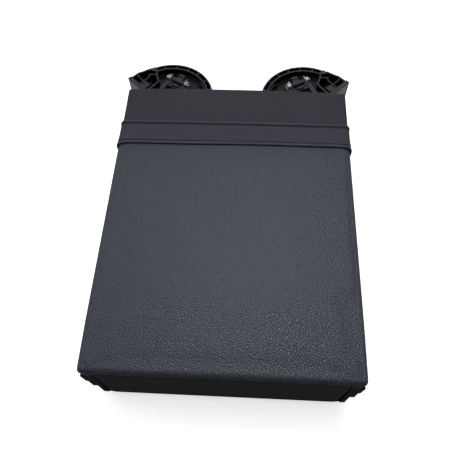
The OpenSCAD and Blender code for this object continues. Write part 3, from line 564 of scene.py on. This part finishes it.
# Flap leather with painted highlights on its hem and welt, and painted shade in its grooves and underneath
FLAP_LEATHER = leather_finish("flap leather", (0.0190, 0.0215, 0.0365), 0.0019, 0.0003, 0.45,
                              with_painted_relief=True, flat=True)
ARM_LEATHER = leather_finish("arm leather", (0.034, 0.038, 0.050), 0.0021, 0.0004, 0.42, crease_tone=0.5)
THREAD = moulded_finish("thread", (0.012, 0.013, 0.017), 0.65, grain=0.0002, height=0.00006, specular=0.35)

for part in frame["record"]["subparts"]:
    node = frame["nodes"][part["node"]]
    for k in range(len(node.material_slots)):
        node.material_slots[k].material = FINISHES[part["material_slot"]]


# Leather covers

def on_panel(x, y, z):
    """Above the seam, from the hinge edge to the flap's seam."""
    return (z > SEAM) & (y < FLAP_SEAM)


def on_smooth(x, y, z):
    """Above the seam, from the flap's seam to the far edge."""
    return (z > SEAM) & (y > FLAP_SEAM)


def on_apron(x, y, z):
    """On the hinge face, between the cheeks."""
    return (y <= NEAR + SAME_PLACE) & (np.abs(x) < CHEEK_X) & (z > APRON_BASE) & (z < SEAM)


def in_cheek(x, y, z):
    """In the window of a hinge cheek, which reaches lower beside the apron."""
    tall = (y < CHEEK_BACK) & (z > CHEEK_STEP_Z) & (z < CHEEK_TOP)
    low = (y < CHEEK_STEP_Y) & (z > CHEEK_BASE) & (z < CHEEK_TOP)
    return (np.abs(x) > CHEEK_X) & (tall | low)


def in_bay(x, y, z):
    """In the mouth of the cup holder bay, which is narrower at its floor strip."""
    front = (y >= FAR - SAME_PLACE) & (np.abs(x) < BAY_X) & (z > STEP_Z) & (z < BAY_TOP)
    floor = (y >= FAR - SAME_PLACE) & (np.abs(x) < BAY_FLOOR_X) & (z > BAY_FLOOR) & (z < BAY_TOP)
    return front | floor


def on_arm(x, y, z):
    """Below the seam, apart from the apron, the cheeks and the bay."""
    return (z < SEAM) & ~on_apron(x, y, z) & ~in_cheek(x, y, z) & ~in_bay(x, y, z)


panel = cover("panel_cover", on_panel, FINISHES["leather"])
smooth_strip = cover("smooth_cover", on_smooth, FINISHES["smooth_vinyl"])
apron = cover("apron_cover", on_apron, FINISHES["apron_vinyl"])
arm = cover("arm_cover", on_arm, ARM_LEATHER)
swell(panel, 0.8 * MM)
swell(smooth_strip, 0.5 * MM)
swell(apron, 1.0 * MM)
swell(arm, 1.6 * MM, flat_below=BASE)
for piece in (panel, smooth_strip, apron, arm):
    thicken(piece, SKIN)
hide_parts("panel_leather")
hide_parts("smooth_panel")
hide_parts("hinge_apron")
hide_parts("arm_leather")
foam_core("arm_foam_core", "arm_foam")


# Pull flap

def band_path(n_side=8, n_round=8, n_top=120, drop=12.5 * MM, stand=0.2 * MM, edge=5 * MM):
    """Path across the stowed face and a little way down both sides, with its outward normals: a straight
    side, a quarter circle over the edge, the face with its crown as a parabola, and the same mirrored."""
    r = edge + stand
    side = HALF_W + stand - 0.7 * MM
    z_side = np.linspace(TOP - edge - (drop - edge), TOP - edge, n_side, endpoint=False)
    left = np.stack([np.full(n_side, -side), z_side], -1)
    turn = np.linspace(math.pi, math.pi / 2, n_round, endpoint=False)
    corner = np.stack([-side + r + r * np.cos(turn), TOP - edge + r * np.sin(turn)], -1)
    top_x = np.linspace(-side + r, 0, n_top // 2, endpoint=False)
    crown = np.stack([top_x, np.full_like(top_x, TOP + stand)], -1)
    half = np.concatenate([left, corner, crown])
    other = half[::-1] * [-1, 1]
    line = np.concatenate([half, [[0, TOP + stand]], other])
    step = np.gradient(line, axis=0)
    step /= np.linalg.norm(step, axis=1, keepdims=True)
    normal = np.stack([-step[:, 1], np.zeros(len(line)), step[:, 0]], -1)
    line[:, 1] += CROWN * unit(1 - (line[:, 0] / HALF_W) ** 2) * 0.85
    path = np.stack([line[:, 0], np.zeros(len(line)), line[:, 1]], -1)
    return path, normal


def flap_profile():
    """Section of the flap, as offset along Y and height over the face: a rounded free edge, the hem's stitch
    groove, a flat band with a slight belly, and the turned-over seam with its welt. Painted light and shade
    go with it: a half on the band, more on the hem and the welt as a painted highlight, little in the two
    grooves and at the cut edge, and less than the band on the underside, as painted shade."""
    width = FLAP_SEAM - FLAP_EDGE
    t = np.linspace(0, 1, 110)
    y = FLAP_EDGE + 0.0012 + (width - 0.0012) * t
    from_edge = y - FLAP_EDGE
    from_seam = FLAP_SEAM - y
    top = 2.0 * MM + 0.9 * MM * bell(from_edge, 10 * MM)
    top += 0.35 * MM * bell(from_edge - 2.9 * MM, 1.4 * MM)
    top -= 0.8 * MM * unit(1 - from_edge / (3.2 * MM)) ** 2
    top -= 1.0 * MM * bell(from_edge - HEM, 0.7 * MM)
    top -= 1.1 * MM * bell(from_seam - SEAM_ROW, 0.55 * MM)
    top += 0.8 * MM * bell(from_seam - 1.9 * MM, 1.3 * MM)
    upper = np.stack([y, top], -1)
    seam_turn = np.linspace(math.pi / 2, -math.pi / 2, 9)[1:-1]
    seam_mid = (top[-1] + 0.1 * MM) / 2
    seam_r = (top[-1] - 0.1 * MM) / 2
    seam = np.stack([y[-1] + seam_r * np.cos(seam_turn), seam_mid + seam_r * np.sin(seam_turn)], -1)
    low_y = np.linspace(y[-1], y[0], 24)
    lift = 1.2 * MM * unit(1 - (low_y - FLAP_EDGE) / (12 * MM)) ** 1.5
    lower = np.stack([low_y, 0.1 * MM + lift], -1)
    edge_turn = np.linspace(-math.pi / 2, -3 * math.pi / 2, 9)[1:-1]
    edge_mid = (top[0] + lower[-1, 1]) / 2
    edge_r = (top[0] - lower[-1, 1]) / 2
    edge = np.stack([y[0] + edge_r * np.cos(edge_turn), edge_mid + edge_r * np.sin(edge_turn)], -1)
    # Painted highlight on the hem and the welt, painted shade in the two grooves
    painted_relief_shading = 0.5 + 0.45 * bell(from_edge - 2.5 * MM, 1.2 * MM)
    painted_relief_shading -= 0.42 * bell(from_edge - HEM, 0.6 * MM)
    painted_relief_shading -= 0.45 * bell(from_seam - SEAM_ROW, 0.5 * MM)
    painted_relief_shading += 0.14 * bell(from_seam - 1.9 * MM, 1.2 * MM)
    # Painted shade on the flap's underside and seam turn, darkest at its cut edge
    painted_underside_shade = np.full(len(seam) + len(lower) + len(edge), 0.3)
    painted_underside_shade[-len(edge):] = 0.08
    return np.concatenate([upper, seam, lower, edge]), np.concatenate([painted_relief_shading, painted_underside_shade])


def close_ends(piece):
    """Fills the open end rings of a carried profile."""
    work = bmesh.new()
    work.from_mesh(piece.data)
    bmesh.ops.holes_fill(work, edges=[e for e in work.edges if e.is_boundary], sides=0)
    bmesh.ops.recalc_face_normals(work, faces=work.faces)
    work.to_mesh(piece.data)
    work.free()


def make_flap():
    """The flap's section carried across the face, with its ends tapered over the last stretch. Its free
    edge sways by two sine waves across and draws back where it goes down the sides."""
    path, normal = band_path()
    profile, painted_relief_shading = flap_profile()
    ends = np.minimum(np.arange(len(path)), np.arange(len(path))[::-1])
    taper = np.interp(ends, [0, 1, 2, 3], [0.45, 0.8, 0.95, 1.0])
    height = profile[:, 1][None, :] * taper[:, None]
    sway = 0.35 * MM * np.sin(path[:, 0] * 19) + 0.2 * MM * np.sin(path[:, 0] * 47 + 1)
    near_edge = unit(1 - (profile[:, 0] - FLAP_EDGE) / 0.02)
    sway -= 2.8 * MM * unit((np.abs(path[:, 0]) - HALF_W + 14 * MM) / (14 * MM)) ** 2
    points = path[:, None, :] + normal[:, None, :] * height[:, :, None]
    points[:, :, 1] += profile[None, :, 0] + sway[:, None] * near_edge[None, :]
    n, m = points.shape[:2]
    faces = grid_faces(n, m, round_columns=True).tolist()
    piece = make_piece("pull_flap_leather", points.reshape(-1, 3), faces, FLAP_LEATHER)
    # Painted light and shade across the flap's section
    layer = piece.data.attributes.new("painted_relief_shading", "FLOAT", "POINT")
    layer.data.foreach_set("value", np.tile(painted_relief_shading, n))
    close_ends(piece)
    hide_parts("pull_flap")


def stitch_row(name, centres, directions, outward, length, width, slot="leather", body="armrest"):
    """A row of stitches: each is a capsule whose section shrinks to its ends as the square root of one minus
    the square of the way along it, and which dips into the leather there."""
    u = np.linspace(-1, 1, 7)
    v = np.linspace(0, 2 * math.pi, 7)[:-1]
    swell_u = np.sqrt(np.maximum(1 - u ** 2, 0.02))
    side = np.cross(outward, directions)
    along = directions[:, None, None, :] * (u * length / 2)[None, :, None, None]
    ring = (side[:, None, None, :] * np.cos(v)[None, None, :, None]
            + outward[:, None, None, :] * np.sin(v)[None, None, :, None])
    ring = ring * (swell_u * width / 2)[None, :, None, None]
    dip = -outward[:, None, None, :] * (0.35 * width * u ** 2)[None, :, None, None]
    points = centres[:, None, None, :] + along + ring + dip
    count, n, m = points.shape[:3]
    one = grid_faces(n, m, round_columns=True)
    caps = np.stack([np.arange(m)[::-1], np.arange((n - 1) * m, n * m)])
    faces = []
    for first in np.arange(count) * n * m:
        faces += (one + first).tolist() + (caps + first).tolist()
    piece = make_piece(name, points.reshape(-1, 3), faces, THREAD, body=body)
    merge_doubles(piece.data, turn_outwards=True)


def along_band(y, height, pitch):
    """Stitch places along the flap at a given Y and height over the face, evenly spaced along its path,
    with the way along the row and the way outwards at each."""
    path, normal = band_path()
    gap = np.linalg.norm(np.diff(path, axis=0), axis=1)
    s = np.concatenate([[0], np.cumsum(gap)])
    count = int((s[-1] - 6 * MM) / pitch)
    at = np.linspace(4 * MM, s[-1] - 4 * MM, count)
    centre = np.stack([np.interp(at, s, path[:, k]) for k in range(3)], -1)
    out = np.stack([np.interp(at, s, normal[:, k]) for k in range(3)], -1)
    out /= np.linalg.norm(out, axis=1, keepdims=True)
    along = np.stack([out[:, 2], np.zeros(count), -out[:, 0]], -1)
    centre = centre + out * height
    centre[:, 1] = y
    return centre, along, out


STITCH_PITCH = 4.4 * MM
STITCH_LENGTH = 3.3 * MM
STITCH_WIDTH = 0.7 * MM
STITCH_ROWS = {
    "flap_hem_stitches": (FLAP_EDGE + HEM, 2.2 * MM),
    "flap_seam_stitches": (FLAP_SEAM - SEAM_ROW, 1.4 * MM),
}
make_flap()
for row, (row_y, row_height) in STITCH_ROWS.items():
    stitch_row(row, *along_band(row_y, row_height, STITCH_PITCH), STITCH_LENGTH, STITCH_WIDTH)


# Floor, light and camera

# Gap under the armrest and half width of the floor
FLOOR_GAP = 0.3 * MM
FLOOR_HALF = 4

# Strength of the sky overhead, and of the band that is added beyond the far end
SKY_BASE = 0.15
SKY_BAND = 1.0

# Camera: place in metres and a shift to its right, elevation, azimuth and roll in degrees, and the height
# of its sensor and its lens in millimetres
CAMERA_PLACE = (0.02052, -0.09529, 0.46199)
CAMERA_SHIFT = 0.6 * MM
CAMERA_ANGLES = (63.623, -5.293, -2.878)
SENSOR = 36
LENS = 34.73


def make_floor():
    """A wide floor just under the arm surface. To the camera it is white with a soft shadow, and whiter
    with the distance, until it meets the white surround. To every other ray it is a mid grey, so that
    it throws little light back on the armrest."""
    mesh = bpy.data.meshes.new("floor")
    corners = [(x, y, BASE - FLOOR_GAP) for x, y in ((-1, -1), (1, -1), (1, 1), (-1, 1))]
    mesh.from_pydata([(x * FLOOR_HALF, y * FLOOR_HALF, z) for x, y, z in corners], [], [(0, 1, 2, 3)])
    floor = bpy.data.objects.new("floor", mesh)
    bpy.context.scene.collection.objects.link(floor)
    material = bpy.data.materials.new("pale floor")
    material.use_nodes = True
    tree = material.node_tree
    paper = tree.nodes["Principled BSDF"]
    paper.inputs["Base Color"].default_value = (0.95, 0.95, 0.95, 1)
    paper.inputs["Roughness"].default_value = 0.9
    paper.inputs["Specular IOR Level"].default_value = 0.0
    grey = tree.nodes.new("ShaderNodeBsdfDiffuse")
    grey.inputs["Color"].default_value = (0.22, 0.22, 0.23, 1)
    glow = tree.nodes.new("ShaderNodeEmission")
    away = tree.nodes.new("ShaderNodeVectorMath")
    away.operation = "LENGTH"
    tree.links.new(tree.nodes.new("ShaderNodeTexCoord").outputs["Object"], away.inputs[0])
    fade = tree.nodes.new("ShaderNodeMapRange")
    for key, value in {"From Min": 0.6, "From Max": 1.5, "To Min": 0.62, "To Max": 1.0}.items():
        fade.inputs[key].default_value = value
    tree.links.new(away.outputs["Value"], fade.inputs["Value"])
    tree.links.new(fade.outputs["Result"], glow.inputs["Strength"])
    lit = tree.nodes.new("ShaderNodeAddShader")
    tree.links.new(paper.outputs[0], lit.inputs[0])
    tree.links.new(glow.outputs[0], lit.inputs[1])
    ray = tree.nodes.new("ShaderNodeLightPath")
    choice = tree.nodes.new("ShaderNodeMixShader")
    tree.links.new(ray.outputs["Is Camera Ray"], choice.inputs[0])
    tree.links.new(grey.outputs[0], choice.inputs[1])
    tree.links.new(lit.outputs[0], choice.inputs[2])
    tree.links.new(choice.outputs[0], tree.nodes["Material Output"].inputs["Surface"])
    mesh.materials.append(material)


def make_light(name, place, target, size, watts):
    """A square soft box that faces a point."""
    light = bpy.data.lights.new(name, "AREA")
    light.shape = "RECTANGLE"
    light.size, light.size_y = size
    light.energy = watts
    lamp = bpy.data.objects.new(name, light)
    way = Vector(target) - Vector(place)
    lamp.matrix_world = Matrix.Translation(place) @ way.to_track_quat("-Z", "Y").to_matrix().to_4x4()
    bpy.context.scene.collection.objects.link(lamp)


def make_camera():
    """The camera of the photograph, from its place, its lens, and its elevation, azimuth and roll."""
    elevation, azimuth, roll = np.radians(CAMERA_ANGLES)
    forward = np.array([math.cos(elevation) * math.sin(azimuth), math.cos(elevation) * math.cos(azimuth),
                        -math.sin(elevation)])
    right = np.array([math.cos(azimuth), -math.sin(azimuth), 0.0])
    up = np.cross(right, forward)
    turned_right = right * math.cos(roll) + up * math.sin(roll)
    turned_up = -right * math.sin(roll) + up * math.cos(roll)
    data = bpy.data.cameras.new("camera")
    data.sensor_fit = "VERTICAL"
    data.sensor_height = SENSOR
    data.lens = LENS
    camera = bpy.data.objects.new("camera", data)
    matrix = np.eye(4)
    matrix[:3, 0], matrix[:3, 1], matrix[:3, 2] = turned_right, turned_up, -forward
    matrix[:3, 3] = np.array(CAMERA_PLACE) + CAMERA_SHIFT * turned_right
    camera.matrix_world = Matrix(matrix.tolist())
    bpy.context.scene.collection.objects.link(camera)
    bpy.context.scene.camera = camera


def make_world():
    """A surround that is white to the camera. For every other ray it is a dim sky with a brighter band
    beyond the far end: the band fades with the square of the height and towards the hinge end."""
    world = bpy.data.worlds.new("surround")
    world.use_nodes = True
    bpy.context.scene.world = world
    tree = world.node_tree

    def node(kind, *values, **settings):
        made = tree.nodes.new("ShaderNode" + kind)
        for key, value in settings.items():
            setattr(made, key, value)
        for k, value in enumerate(values):
            if isinstance(value, bpy.types.NodeSocket):
                tree.links.new(value, made.inputs[k])
            else:
                made.inputs[k].default_value = value
        return made

    way = node("SeparateXYZ", tree.nodes.new("ShaderNodeTexCoord").outputs["Generated"])
    low = node("Math", 1.0, way.outputs["Z"], operation="SUBTRACT", use_clamp=True)
    lower = node("Math", low.outputs[0], 2.0, operation="POWER")
    ahead = node("Math", way.outputs["Y"], 0.5, 0.5, operation="MULTIPLY_ADD", use_clamp=True)
    band = node("Math", lower.outputs[0], ahead.outputs[0], operation="MULTIPLY")
    sky = node("Math", band.outputs[0], SKY_BAND, SKY_BASE, operation="MULTIPLY_ADD")
    ray = tree.nodes.new("ShaderNodeLightPath")
    level = tree.nodes.new("ShaderNodeMix")
    tree.links.new(ray.outputs["Is Camera Ray"], level.inputs["Factor"])
    tree.links.new(sky.outputs[0], level.inputs["A"])
    level.inputs["B"].default_value = 1.0
    tree.links.new(level.outputs["Result"], tree.nodes["Background"].inputs["Strength"])
    tree.nodes["Background"].inputs["Color"].default_value = (1, 1, 1, 1)


make_floor()
make_world()
make_light("key", (0.02, 0.28, 1.25), (0, 0.10, 0), (0.9, 0.8), 6)
make_light("sheen", (0.12, 0.57, 1.30), (0, 0.12, 0), (0.30, 0.22), 6.5)
make_light("back", (0.10, 1.70, 1.42), (0, 0.34, 0), (1.5, 0.3), 1.5)
make_light("fill", (-1.0, 0.5, 1.1), (0, 0.15, 0), (0.8, 0.8), 3)
make_camera()
bpy.context.scene.view_settings.view_transform = "Standard"
